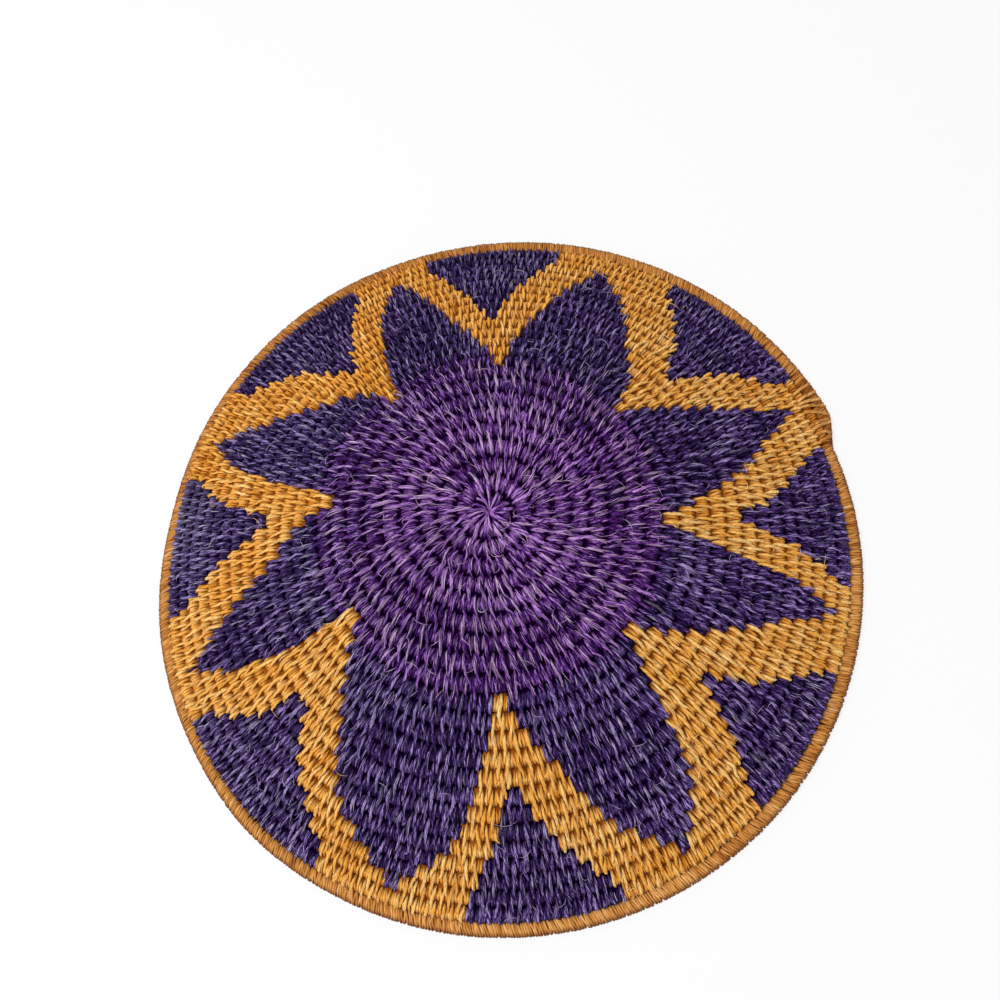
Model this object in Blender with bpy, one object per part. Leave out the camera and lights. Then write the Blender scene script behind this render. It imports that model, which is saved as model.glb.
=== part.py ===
# Coiled sisal bowl, standing mouth down on its rim. Metres, +Z up, origin at the middle of the foot print.
# One long coil winds clockwise from the crown of the base to the rim. It is made here as the lengths
# that are bound in one colour of thread: violet base, dark blue wall with a gold star, gold rim.

import math

import bmesh
import bpy
import numpy as np

# The coil. Width is measured along the wall, thickness through it.
COIL_PITCH = 0.0070          # middle of one row to the middle of the next
COIL_WIDTH = 0.0061          # across the flats that face the neighbouring rows
COIL_START_TURN = 0.42       # the coil begins this far out, in turns
COIL_START_TAPER = 0.9       # turns over which the starting tail reaches its full width
COIL_START_SHARE = 0.66      # width of the starting tail, as a share of the full width
BASE_END_TURN = 9.583        # the violet base ends and the dark wall begins
WALL_END_TURN = 22.78        # the wall ends and the gold rim begins
END_AZIMUTH = 18.0           # degrees from +X, counterclockwise from above, where the rim coil ends
STATIONS = 24                # points for each turn of the coil
FIT_GAP = 0.0003             # clear slot between pieces that touch in the real bowl

# The wall's rows are stitched to each other, so a patch of one colour is one ribbed solid.
ROW_CREST = 0.0035           # from the wall's middle surface to the crown of a row
ROW_VALLEY = 0.0021          # from the wall's middle surface to the groove between two rows
EDGE_VALLEY = 0.0017         # the same along the wall's outer edge, which has no neighbour in the wall

# The rim coil, round and a little thinner, sits lower than the wall so that it alone carries the bowl.
RIM_WIDTH = 0.0058
RIM_DROP = 0.0028
RIM_GROWTH = 0.0066          # how far the rim coil moves outward in its one turn
FOOT_SHARE = 0.1             # share of the rim coil's diameter that is cut away flat underneath

# The wall's slope in degrees below level, at distances from the crown measured along the wall.
SLOPES = ((0.000, 0.0), (0.030, 4.0), (0.055, 12.0), (0.068, 27.0), (0.095, 25.5), (0.130, 27.5), (0.157, 22.4))
SKEW = 0.0078                # the bowl is this share narrower on one side, and wider on the other
SKEW_AZIMUTH = 117.0
OVAL = 0.0050                # it is also a little oval: this share longer one way, and shorter across
OVAL_AZIMUTH = 27.5

# The star, read as a weaver's chart. OUTER_AT and INNER_AT are distances from the crown along the wall.
# For each gold chevron come the azimuths in degrees of its two outer edges at OUTER_AT, then those of
# the dark triangle inside it at INNER_AT. Each chevron's outer edge ends where the next one's begins.
TIP_AT = 0.0665
OUTER_AT = (0.070, 0.098, 0.126, 0.147)
INNER_AT = (0.103, 0.126, 0.151)
CHEVRONS = (
    ((-2.5, -6, -9, -11.5), (2.5, 12, 20, 25), (3.5, 0, -5), (3.5, 8, 15)),
    ((40, 32, 28, 25), (45, 55, 64, 71), (43.5, 39, 32), (43.5, 48, 56)),
    ((87, 82, 75, 71), (91, 103, 108, 113), (92, 89, 82), (92, 98, 104)),
    ((126, 122, 118, 113), (131, 146, 156, 160), (131.5, 128, 122), (131.5, 139, 148)),
    ((170.5, 168, 165, 160), (177, 191, 198, 203), (178, 175, 169), (178, 185, 190)),
    ((213, 211, 208, 203), (222, 234, 240, 254), (222, 220, 212), (222, 229, 241)),
    ((272, 267, 264, 254), (276, 286, 293, 302), (275.5, 272, 268), (275.5, 281, 289)),
    ((319, 312, 308, 302), (324, 336, 344, 348.5), (324.5, 321, 315), (324.5, 330, 338)),
)
BLUNT_TIP = 0.0012           # width at which a tip of the star ends

# The whorl of long stitches that holds the first turns, and the lashing of the rim coil's end.
WHORL_RADIUS = 0.0105
WHORL_STITCHES = 18
WHORL_THICKNESS = 0.0010
WHORL_GROOVE = 0.35          # depth of the grooves between its stitches, as a share of its thickness
LASHING_STRANDS = 9
LASHING_SPAN = 12.0          # degrees of the rim that the lashing covers, up to the coil's end
LASHING_THICKNESS = 0.0012
LASHING_RIB = 0.0005         # height of one strand over the groove beside it

VIOLET = (0.105, 0.030, 0.235)
INDIGO = (0.035, 0.018, 0.115)
GOLD = (0.520, 0.260, 0.060)
RIM_GOLD = (0.440, 0.190, 0.040)

CORNER = 1 / math.cos(math.radians(30))          # a hexagon's corner over its half width
TOTAL_TURNS = WALL_END_TURN + 1.0
TRACE_STEP = 0.00025
EDGE_STEP = 0.007            # spacing of the points along an edge of the star
EDGE_AT = sorted(set(OUTER_AT + INNER_AT + tuple(TIP_AT + EDGE_STEP * step for step in range(1, 15))))
EDGE_SHARE = 0.75            # how far an edge moves aside, as a share of the slot: edges run aslant
CUTTER_MARGIN = 0.012        # how far a cutter reaches past the wall


def trace_wall():
    """Distances along the wall from the crown, with the radius, the drop and the slope at each."""
    knots = np.array(SLOPES)
    distance = np.arange(0.0, COIL_PITCH * TOTAL_TURNS + 0.02, TRACE_STEP)
    slope = np.radians(np.interp(distance, knots[:, 0], knots[:, 1]))
    radius = np.concatenate(([0.0], np.cumsum(np.cos(slope) * TRACE_STEP)[:-1]))
    drop = np.concatenate(([0.0], np.cumsum(np.sin(slope) * TRACE_STEP)[:-1]))
    return distance, radius, drop, slope


DISTANCE, RADIUS, DROP, SLOPE = trace_wall()


def wall_at(distance):
    """Radius, drop below the crown and slope of the wall's middle surface."""
    return (float(np.interp(distance, DISTANCE, RADIUS)), float(np.interp(distance, DISTANCE, DROP)),
            float(np.interp(distance, DISTANCE, SLOPE)))


WALL_END_DISTANCE = COIL_PITCH * WALL_END_TURN
RIM_HEIGHT = RIM_WIDTH / 2 * CORNER * (1 - 2 * FOOT_SHARE)       # rim coil's middle above the ground
CROWN_HEIGHT = wall_at(WALL_END_DISTANCE)[1] + RIM_DROP + RIM_HEIGHT


def azimuth_of(turn):
    return math.radians(END_AZIMUTH + 360.0 * (TOTAL_TURNS - turn))


def skewed(radius, azimuth):
    return radius * (1 - SKEW * math.cos(azimuth - math.radians(SKEW_AZIMUTH))
                     + OVAL * math.cos(2 * (azimuth - math.radians(OVAL_AZIMUTH))))


def rim_radius(turn):
    """Radius of the rim coil's middle line."""
    return skewed(wall_at(WALL_END_DISTANCE)[0] + RIM_GROWTH * (turn - WALL_END_TURN), azimuth_of(turn))


def middle_of_rim():
    """Middle of the rim's outline from above. The bowl is skewed, so this isn't under its crown."""
    turns = [TOTAL_TURNS - count / STATIONS for count in range(STATIONS + 1)]
    outline = np.array([[(rim_radius(turn) + RIM_WIDTH / 2) * side(azimuth_of(turn))
                         for side in (math.cos, math.sin)] for turn in turns])
    return (outline.min(axis=0) + outline.max(axis=0)) / 2


MIDDLE = middle_of_rim()


def surface_point(distance, azimuth, lift=0.0):
    """A point of the wall's middle surface, or one that is lifted square off it."""
    radius, drop, slope = wall_at(distance)
    radius = skewed(radius, azimuth) + lift * math.sin(slope)
    return np.array((radius * math.cos(azimuth) - MIDDLE[0], radius * math.sin(azimuth) - MIDDLE[1],
                     CROWN_HEIGHT - drop + lift * math.cos(slope)))


def rim_point(turn):
    """Middle of the rim coil, which lies level."""
    azimuth, radius = azimuth_of(turn), rim_radius(turn)
    return np.array((radius * math.cos(azimuth) - MIDDLE[0], radius * math.sin(azimuth) - MIDDLE[1],
                     CROWN_HEIGHT - wall_at(WALL_END_DISTANCE)[1] - RIM_DROP))


def wall_point(turn, shift=0.0, lift=0.0):
    """A point beside the coil: shift is measured along the wall, lift square off it."""
    return surface_point(COIL_PITCH * turn + shift, azimuth_of(turn), lift)


def on_chord(place, turn, *offsets):
    """A point on the straight stretch between two stations. All rows have their stations in line."""
    count = (TOTAL_TURNS - turn) * STATIONS
    first = TOTAL_TURNS - math.ceil(count - 1e-6) / STATIONS
    share = (turn - first) * STATIONS
    if share < 1e-6:
        return place(first, *offsets)
    return place(first, *offsets) * (1 - share) + place(first + 1 / STATIONS, *offsets) * share


def turns_between(start, end):
    """The coil's two ends and the stations between them."""
    first = math.floor((TOTAL_TURNS - end) * STATIONS) + 1
    last = math.ceil((TOTAL_TURNS - start) * STATIONS) - 1
    stations = [TOTAL_TURNS - count / STATIONS for count in range(last, first - 1, -1)]
    return [start] + [turn for turn in stations if start + 1e-6 < turn < end - 1e-6] + [end]


def gap_in_turns(turn, square=False):
    """Half of the clear slot at a cut end of the coil, as a share of a turn.

    A tube's end is square to its first chord, not radial, so it needs a little more room.
    """
    gap = FIT_GAP / 2 + (COIL_WIDTH * 0.6 * math.tan(math.pi / STATIONS) if square else 0.0)
    return gap / (math.tau * wall_at(COIL_PITCH * turn)[0])


def coil_share(turn):
    """Width of the coil at a turn, as a share of its full width: the starting tail is thinner."""
    grown = min(1.0, (turn - COIL_START_TURN) / COIL_START_TAPER)
    return COIL_START_SHARE + (1 - COIL_START_SHARE) * grown


def make_material(name, colour):
    material = bpy.data.materials.new(name)
    material.use_nodes = True
    surface = material.node_tree.nodes["Principled BSDF"]
    surface.inputs["Base Color"].default_value = (*colour, 1.0)
    surface.inputs["Roughness"].default_value = 0.75
    surface.inputs["Metallic"].default_value = 0.0
    return material


def add_object(name, data, material=None):
    item = bpy.data.objects.new(name, data)
    bpy.context.collection.objects.link(item)
    if material:
        data.materials.append(material)
    return item


def hide_tool(item):
    item.hide_render = True
    item.display_type = "WIRE"
    return item


def make_section(name, corners):
    """A closed cross-section that the coil is drawn along: x towards the crown, y out of the wall."""
    curve = bpy.data.curves.new(name, "CURVE")
    curve.dimensions = "2D"
    curve.fill_mode = "NONE"
    spline = curve.splines.new("POLY")
    spline.points.add(len(corners) - 1)
    for point, (x, y) in zip(spline.points, corners):
        point.co = (x, y, 0.0, 1.0)
    spline.use_cyclic_u = True
    return hide_tool(add_object(name, curve))


def hexagon(width, foot_share=0.0):
    """Corners of a hexagon, clockwise from the top, with flats at the sides and perhaps a cut foot."""
    corner = width / 2 * CORNER
    points = [(corner * math.sin(math.radians(60 * step)), corner * math.cos(math.radians(60 * step)))
              for step in range(6)]
    if foot_share:
        cut = 2 * corner * foot_share
        half = cut * math.tan(math.radians(60))
        points[3:4] = [(half, cut - corner), (-half, cut - corner)]
    return points


def make_coil(name, start, end, place, section, material, slope_at, share_at):
    """One unbroken tube between two turns of the coil."""
    curve = bpy.data.curves.new(name, "CURVE")
    curve.dimensions = "3D"
    curve.twist_mode = "Z_UP"
    curve.bevel_mode = "OBJECT"
    curve.bevel_object = section
    curve.use_fill_caps = True
    turns = turns_between(start, end)
    spline = curve.splines.new("POLY")
    spline.points.add(len(turns) - 1)
    for point, turn in zip(spline.points, turns):
        point.co = (*on_chord(place, turn), 1.0)
        point.tilt = -slope_at(turn)
        point.radius = share_at(turn)
    return add_object(name, curve, material)


def make_wall_mesh():
    """The whole wall as one ribbed spiral slab: each row's groove is shared with the next row's."""
    start = BASE_END_TURN + gap_in_turns(BASE_END_TURN)
    end = WALL_END_TURN - gap_in_turns(WALL_END_TURN)
    turns = set(turns_between(start, end))
    whole = int(end - start)
    turns.update(start + row for row in range(1, whole + 1))
    turns.update(end - row for row in range(1, whole + 1))
    turns = sorted(turns)
    turns = [turn for index, turn in enumerate(turns) if index == 0 or turn - turns[index - 1] > 1e-6]
    shell = bmesh.new()
    corners = {}

    def corner(turn, shift, lift):
        place = on_chord(wall_point, turn, shift, lift)
        key = tuple(round(value * 1e6) for value in place)
        if key not in corners:
            corners[key] = shell.verts.new(place)
        return corners[key]

    def rung(turn):
        free = turn > end - 1 + 1e-6
        out, low = (COIL_WIDTH / 2, EDGE_VALLEY) if free else (COIL_PITCH / 2, ROW_VALLEY)
        return [corner(turn, shift, lift) for shift, lift in
                ((-COIL_PITCH / 2, ROW_VALLEY), (0.0, ROW_CREST), (out, low),
                 (out, -low), (0.0, -ROW_CREST), (-COIL_PITCH / 2, -ROW_VALLEY))]

    rungs = [rung(turn) for turn in turns]
    for near, far, turn, after in zip(rungs, rungs[1:], turns, turns[1:]):
        for side in (0, 1, 3, 4):
            shell.faces.new((near[side], far[side], far[side + 1], near[side + 1]))
        if after - 1 <= start + 1e-6:
            shell.faces.new((near[5], far[5], far[0], near[0]))
        if turn + 1 >= end - 1e-6:
            shell.faces.new((near[2], far[2], far[3], near[3]))
    shell.faces.new(rungs[0])
    shell.faces.new(rungs[-1][::-1])
    bmesh.ops.recalc_face_normals(shell, faces=shell.faces)
    mesh = bpy.data.meshes.new("wall_rows")
    shell.to_mesh(mesh)
    shell.free()
    return mesh


def edge_points(at, azimuths, side, first, last):
    """Points along one edge of the star, between two distances, moved aside by half a slot.

    Both neighbours have their points at the same distances, so the slot between them stays even.
    """
    between = [distance for distance in EDGE_AT if first + 1e-4 < distance < last - 1e-4]
    points = []
    for distance in [first] + between + [last]:
        azimuth = math.radians(float(np.interp(distance, at, azimuths)))
        radius = wall_at(distance)[0]
        points.append((distance, azimuth + side * FIT_GAP * EDGE_SHARE / radius))
    return points


def blunt_tip(at, low, high, near, far):
    """Distance at which two edges that meet in a point are still the width of a blunt tip apart."""
    for distance in np.linspace(near, far, 400):
        width = math.radians(abs(float(np.interp(distance, at, high)) - float(np.interp(distance, at, low))))
        if width * wall_at(distance)[0] >= BLUNT_TIP:
            return float(distance)
    return far


def make_cutter(name, outline):
    """An upright prism over an outline on the wall, which cuts one patch of colour out of it."""
    shape = bmesh.new()
    corners = []
    for distance, azimuth in outline:
        x, y, _ = surface_point(distance, azimuth)
        corners.append(shape.verts.new((x, y, -CUTTER_MARGIN)))
    floor = shape.faces.new(corners)
    risen = bmesh.ops.extrude_face_region(shape, geom=[floor])["geom"]
    height = CROWN_HEIGHT + 3 * CUTTER_MARGIN
    bmesh.ops.translate(shape, verts=[item for item in risen if isinstance(item, bmesh.types.BMVert)],
                        vec=(0.0, 0.0, height))
    bmesh.ops.recalc_face_normals(shape, faces=shape.faces)
    mesh = bpy.data.meshes.new(name)
    shape.to_mesh(mesh)
    shape.free()
    return hide_tool(add_object(name, mesh))


def make_patch(name, wall_mesh, outline, material):
    """One patch of the wall in one colour: the ribbed slab, cut to an outline of the star."""
    mesh = wall_mesh.copy()
    patch = add_object(name, mesh, material)
    cut = patch.modifiers.new("outline", "BOOLEAN")
    cut.operation = "INTERSECT"
    cut.object = make_cutter(name + "_outline", outline)
    return patch


def chevron_outline(low, high, inner_low, inner_high):
    reach = WALL_END_DISTANCE + CUTTER_MARGIN
    tip = blunt_tip(INNER_AT, inner_low, inner_high, INNER_AT[0], INNER_AT[-1])
    return (edge_points(OUTER_AT, low, +1, TIP_AT, reach)
            + edge_points(INNER_AT, inner_low, -1, tip, reach)[::-1]
            + edge_points(INNER_AT, inner_high, +1, tip, reach)
            + edge_points(OUTER_AT, high, -1, TIP_AT, reach)[::-1]
            + [(TIP_AT, math.radians((low[0] + high[0]) / 2))])


def triangle_outline(inner_low, inner_high):
    reach = WALL_END_DISTANCE + CUTTER_MARGIN
    tip = FIT_GAP + blunt_tip(INNER_AT, inner_low, inner_high, INNER_AT[0], INNER_AT[-1])
    return (edge_points(INNER_AT, inner_low, +1, tip, reach)
            + edge_points(INNER_AT, inner_high, -1, tip, reach)[::-1])


def petal_outline(before, after):
    """The dark petal between one chevron and the next one counterclockwise."""
    low, high = before[1], after[0]
    inside = COIL_PITCH * (BASE_END_TURN - 1.0)
    start = (before[0][0] + before[1][0]) / 2
    end = (after[0][0] + after[1][0]) / 2
    tip = blunt_tip(OUTER_AT, low, high, OUTER_AT[-1], OUTER_AT[0])
    neck = TIP_AT - FIT_GAP
    return (edge_points((0.0, 1.0), (start, start), +1, inside, neck)
            + edge_points(OUTER_AT, low, +1, neck, tip)
            + edge_points(OUTER_AT, high, -1, neck, tip)[::-1]
            + edge_points((0.0, 1.0), (end, end), -1, inside, neck)[::-1])


def make_star(indigo, gold):
    wall_mesh = make_wall_mesh()
    for number, chevron in enumerate(CHEVRONS, start=1):
        following = CHEVRONS[number % len(CHEVRONS)]
        if number == len(CHEVRONS):
            following = tuple(tuple(azimuth + 360 for azimuth in edge) for edge in following)
        make_patch(f"gold_chevron_{number}", wall_mesh, chevron_outline(*chevron), gold)
        make_patch(f"indigo_triangle_{number}", wall_mesh, triangle_outline(*chevron[2:]), indigo)
        make_patch(f"indigo_petal_{number}", wall_mesh, petal_outline(chevron, following), indigo)
    bpy.data.meshes.remove(wall_mesh)


def make_whorl(material):
    """The whorl: a thin domed disc with a groove between each two of its radial stitches."""
    shape = bmesh.new()
    seat = COIL_WIDTH / 2 * CORNER + FIT_GAP
    spokes = 2 * WHORL_STITCHES
    rings = []
    for share, thickness in ((0.35, 1.0), (0.75, 1.0), (1.0, 0.6)):
        ring = []
        for spoke in range(spokes):
            groove = WHORL_GROOVE if spoke % 2 else 0.0
            lift = seat + WHORL_THICKNESS * thickness * (1 - groove)
            ring.append(shape.verts.new(surface_point(WHORL_RADIUS * share, math.tau * spoke / spokes, lift)))
        rings.append(ring)
    rings.append([shape.verts.new(surface_point(WHORL_RADIUS, math.tau * spoke / spokes, seat))
                  for spoke in range(spokes)])
    top = shape.verts.new(surface_point(0.0, 0.0, seat + WHORL_THICKNESS))
    bottom = shape.verts.new(surface_point(0.0, 0.0, seat))
    for spoke in range(spokes):
        after = (spoke + 1) % spokes
        shape.faces.new((top, rings[0][spoke], rings[0][after]))
        shape.faces.new((bottom, rings[-1][after], rings[-1][spoke]))
        for inner, outer in zip(rings, rings[1:]):
            shape.faces.new((inner[spoke], outer[spoke], outer[after], inner[after]))
    mesh = bpy.data.meshes.new("centre_whorl")
    shape.to_mesh(mesh)
    shape.free()
    mesh.shade_smooth()
    return add_object("centre_whorl", mesh, material)


def make_lashing(material):
    """A ribbed band of strands that binds the rim coil's end to the last wall row."""
    shape = bmesh.new()
    lines = 2 * LASHING_STRANDS + 1
    rows = []
    for line in range(lines):
        azimuth = END_AZIMUTH + 1.0 + LASHING_SPAN * line / (lines - 1)
        turn = TOTAL_TURNS - (azimuth - END_AZIMUTH) / 360.0
        rim = on_chord(rim_point, turn)
        out = np.array((math.cos(math.radians(azimuth)), math.sin(math.radians(azimuth)), 0.0))
        up = np.array((0.0, 0.0, 1.0))
        rib = LASHING_RIB if line % 2 else 0.0
        wall_lift = ROW_CREST + FIT_GAP + rib
        rim_lift = RIM_WIDTH / 2 * CORNER + FIT_GAP + rib
        side = RIM_WIDTH / 2 + FIT_GAP * 1.5 + rib
        path = (on_chord(wall_point, turn - 1, -COIL_PITCH * 0.22, wall_lift),
                on_chord(wall_point, turn - 1, COIL_PITCH * 0.20, wall_lift),
                rim + up * rim_lift - out * RIM_WIDTH * 0.10,
                rim + out * side + up * rim_lift * 0.58,
                rim + out * side - up * RIM_WIDTH * 0.20)
        rows.append([shape.verts.new(place) for place in path])
    for near, far in zip(rows, rows[1:]):
        for step in range(len(near) - 1):
            shape.faces.new((near[step], near[step + 1], far[step + 1], far[step]))
    mesh = bpy.data.meshes.new("rim_end_lashing")
    shape.to_mesh(mesh)
    shape.free()
    lashing = add_object("rim_end_lashing", mesh, material)
    wall = lashing.modifiers.new("strands", "SOLIDIFY")
    wall.thickness = LASHING_THICKNESS
    wall.offset = 1.0
    return lashing


def print_least_gap(name, place, start, end, width):
    """Least clear space between one turn of an unbroken tube and the next, measured on points."""
    turns = np.arange(start, end, 1 / (4 * STATIONS))
    points = np.array([on_chord(place, turn) for turn in turns])
    least = min(float(np.linalg.norm(points[np.abs(turns - turn) > 0.5] - point, axis=1).min())
                for turn, point in zip(turns, points) if (np.abs(turns - turn) > 0.5).any())
    print(f"{name}: least gap between its own turns {1000 * (least - width):.2f} mm")


def build():
    for item in list(bpy.data.objects):
        bpy.data.objects.remove(item)
    violet = make_material("violet_sisal", VIOLET)
    indigo = make_material("indigo_sisal", INDIGO)
    gold = make_material("gold_sisal", GOLD)
    rim_gold = make_material("rim_sisal", RIM_GOLD)
    coil_section = make_section("coil_section", hexagon(COIL_WIDTH))
    rim_section = make_section("rim_section", hexagon(RIM_WIDTH, FOOT_SHARE))
    base_end = BASE_END_TURN - gap_in_turns(BASE_END_TURN, square=True)
    rim_start = WALL_END_TURN + gap_in_turns(WALL_END_TURN, square=True)
    make_coil("base_coil", COIL_START_TURN, base_end, wall_point,
              coil_section, violet, lambda turn: wall_at(COIL_PITCH * turn)[2], coil_share)
    make_star(indigo, gold)
    make_coil("rim_coil", rim_start, TOTAL_TURNS, rim_point,
              rim_section, rim_gold, lambda turn: 0.0, lambda turn: 1.0)
    make_whorl(violet)
    make_lashing(gold)
    print_least_gap("base_coil", wall_point, COIL_START_TURN, BASE_END_TURN, COIL_WIDTH)
    print_least_gap("rim_coil", rim_point, WALL_END_TURN, TOTAL_TURNS, RIM_WIDTH)


build()
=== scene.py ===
# %% [markdown]
# # A coiled sisal bowl with a gold star
# The real bowl is one long bundle of grass, wound in a spiral and bound all the way with dyed sisal
# thread. What we see is only thread: fine wraps that go round the bundle, and longer stitches that reach
# on to the next row and hold the rows together. The imported model has the rows as plain ribs. Here every
# wrap and every stitch becomes its own closed strand, laid on the same spiral, so that grooves, holes and
# the stepped edges of the star come from the weaving itself and not from a picture. The holes are made
# darker with painted shade on the strands low in the grooves and on the bundle under them.

# %% The imported model is the frame
import math

import bmesh
import bpy
import numpy as np
from mathutils import Matrix, Vector
from numpy.random import default_rng


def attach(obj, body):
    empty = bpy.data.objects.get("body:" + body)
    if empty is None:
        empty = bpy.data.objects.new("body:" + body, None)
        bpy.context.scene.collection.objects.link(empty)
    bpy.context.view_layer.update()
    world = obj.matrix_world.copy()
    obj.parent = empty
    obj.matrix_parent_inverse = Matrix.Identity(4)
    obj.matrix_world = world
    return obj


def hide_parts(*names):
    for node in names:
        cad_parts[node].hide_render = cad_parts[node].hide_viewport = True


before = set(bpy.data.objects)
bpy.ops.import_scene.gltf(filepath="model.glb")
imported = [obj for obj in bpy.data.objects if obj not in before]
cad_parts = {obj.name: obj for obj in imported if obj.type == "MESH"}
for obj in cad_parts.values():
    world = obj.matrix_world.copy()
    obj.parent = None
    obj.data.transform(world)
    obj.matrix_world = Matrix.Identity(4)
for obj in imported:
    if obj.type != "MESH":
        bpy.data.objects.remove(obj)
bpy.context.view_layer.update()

# %% [markdown]
# ## The spiral
# A place on the bowl is given as a weaver would measure it: a distance along the wall from the crown, an
# azimuth round it, and a lift square off the wall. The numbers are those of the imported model. They could
# be read off its mesh, but a few named values say more, and place a strand by its turn of the coil.

# %% Measurements of the coil, in metres, degrees and turns
PITCH = 0.0070
COIL_START_TURN = 0.42
COIL_START_TAPER = 0.9
COIL_START_SHARE = 0.66
BASE_END = 9.583
WALL_END = 22.78
TURNS = WALL_END + 1.0
END_AZIMUTH = 18.0
RIM_WIDTH = 0.0058
RIM_DROP = 0.0028
RIM_GROWTH = 0.0066
FOOT_SHARE = 0.1      # of the rim coil's height, pressed flat above and below
RIM_HEIGHT = RIM_WIDTH / 2 / math.cos(math.radians(30)) * (1 - 2 * FOOT_SHARE)
SLOPES = ((0.000, 0.0), (0.030, 4.0), (0.055, 12.0), (0.068, 27.0), (0.095, 25.5), (0.130, 27.5),
          (0.157, 22.4))      # distance, and how steep the wall falls there
SKEW, SKEW_AZIMUTH = 0.0078, 117.0
OVAL, OVAL_AZIMUTH = 0.0050, 27.5

STEP = 0.00025
DISTANCE = np.arange(0.0, PITCH * TURNS + 0.02, STEP)
SLOPE = np.radians(np.interp(DISTANCE, *np.array(SLOPES).T))
RADIUS = np.concatenate(([0.0], np.cumsum(np.cos(SLOPE) * STEP)[:-1]))
DROP = np.concatenate(([0.0], np.cumsum(np.sin(SLOPE) * STEP)[:-1]))
WALL_END_RADIUS = np.interp(PITCH * WALL_END, DISTANCE, RADIUS)
WALL_END_DROP = np.interp(PITCH * WALL_END, DISTANCE, DROP)
CROWN_HEIGHT = WALL_END_DROP + RIM_DROP + RIM_HEIGHT
print(f"rows: {WALL_END:.1f} and the rim, crown {1000 * CROWN_HEIGHT:.1f} mm high")

# %% Places on the wall


def azimuth_of(turn):
    return np.radians(END_AZIMUTH + 360.0 * (TURNS - turn))


def facing(azimuth, place):
    """1 on the side of the bowl that lies at this place, in degrees, and -1 on the opposite side."""
    return np.cos(azimuth - math.radians(place))


def hump(azimuth, place, half_width):
    """1 at this place, in degrees, falling smoothly to nothing on both sides."""
    away = (np.degrees(azimuth) - place + 180) % 360 - 180
    return np.exp(-(away / half_width) ** 2)


def smooth(value):
    value = np.clip(value, 0, 1)
    return value * value * (3 - 2 * value)


def skewed(radius, azimuth):
    return radius * (1 - SKEW * facing(azimuth, SKEW_AZIMUTH)
                     + OVAL * np.cos(2 * (azimuth - math.radians(OVAL_AZIMUTH))))


def rim_radius(turn):
    return skewed(WALL_END_RADIUS + RIM_GROWTH * (turn - WALL_END), azimuth_of(turn))


rim_turns = TURNS - np.arange(25) / 24
rim_ways = np.array([way(azimuth_of(rim_turns)) for way in (np.cos, np.sin)])
rim_outline = (rim_radius(rim_turns) + RIM_WIDTH / 2) * rim_ways
MIDDLE = (rim_outline.min(axis=1) + rim_outline.max(axis=1)) / 2
WANDER = ((0.000, 0.0, 0.0, 110), (0.030, 0.7, 1.7, 100), (0.054, 0.9, 2.3, 120), (0.080, 1.0, 1.2, 100),
          (0.106, 1.6, 0.5, 110), (0.130, 1.4, 0.3, 150), (0.146, 0.2, 0.2, 150), (0.160, -1.15, -0.9, 65))
PINCHED, PINCH = (184.0, 13.0), 2.2      # where the last rows are pulled in, and how many millimetres
wander_at, wander_mean, wander_swing, wander_azimuth = np.array(WANDER).T      # mean and swing in mm
wander_x, wander_y = (wander_swing * way(np.radians(wander_azimuth)) for way in (np.cos, np.sin))


def wandered(distance, azimuth):
    """Where a row really lies: by hand the rows stray a little from the true spiral, more to one side."""
    mean, x, y = (np.interp(distance, wander_at, values) for values in (wander_mean, wander_x, wander_y))
    pinched = np.interp(distance, (0.140, 0.160), (0.0, PINCH)) * hump(azimuth, *PINCHED)
    return distance + 0.001 * (mean + x * np.cos(azimuth) + y * np.sin(azimuth) - pinched)


def at(radius, azimuth, height):
    """Points at these heights above the floor, with the rim's outline centred on the origin."""
    x, y = radius * np.cos(azimuth) - MIDDLE[0], radius * np.sin(azimuth) - MIDDLE[1]
    return np.stack((x, y, height), axis=-1)


def wall_points(distance, azimuth, lift):
    """Points at a distance along the wall, lifted square off its middle surface."""
    distance = wandered(distance, azimuth)
    slope = np.interp(distance, DISTANCE, SLOPE)
    radius = skewed(np.interp(distance, DISTANCE, RADIUS), azimuth) + lift * np.sin(slope)
    return at(radius, azimuth, CROWN_HEIGHT - np.interp(distance, DISTANCE, DROP) + lift * np.cos(slope))


crown = wall_points(0.0, 0.0, 0.0035)
print("crown of the base at", crown.round(4).tolist())

# %% Places on the rim
RIM_MIDDLE = CROWN_HEIGHT - WALL_END_DROP - RIM_DROP
RIM_STARTS_OUT, RIM_TIGHTENED = 0.0008, 0.0003
RIM_BUMPS = ((175, 14, -1.7), (230, 11, 1.0), (130, 16, 0.9), (325, 25, 0.7))      # the last in millimetres
TAIL_START, TAIL_LENGTH, TAIL_INWARD = 23.7640, 0.0218, 0.0046


def tail_share(turn):
    return smooth((turn - TAIL_START) / TAIL_LENGTH)


def rim_points(turn, shift, lift):
    """Points beside the rim coil, which lies level: shift is outward, lift is up. Its tail turns inward."""
    azimuth = azimuth_of(turn)
    radius = rim_radius(turn) + shift - RIM_TIGHTENED
    radius = radius + RIM_STARTS_OUT * (1 - smooth((turn - WALL_END) / 0.15))
    radius = radius + sum(0.001 * height * hump(azimuth, place, width) for place, width, height in RIM_BUMPS)
    return at(radius - TAIL_INWARD * tail_share(turn), azimuth, RIM_MIDDLE + lift)


print(f"the rim coil's middle is {1000 * RIM_MIDDLE:.2f} mm above the floor")

# %% [markdown]
# ## The camera, the floor and the light
# The photo was taken by hand from close above, so nearer rows look larger and the near wall shows more
# than the far one. A camera at that height with that short lens gives the same view. The light is a
# large soft lamp and an even white world, bright enough together that a white surface would look white.

# %% Camera at the photograph's angle
EYE_FROM_CROWN = (0.0283, -0.0814, 0.2778)
VIEW_FORWARD, VIEW_UP = (-0.0833, 0.2937, -0.9523), (0.0, 0.9556, 0.2947)


def add_object(name, data):
    added = bpy.data.objects.new(name, data)
    bpy.context.collection.objects.link(added)
    return added


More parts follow.
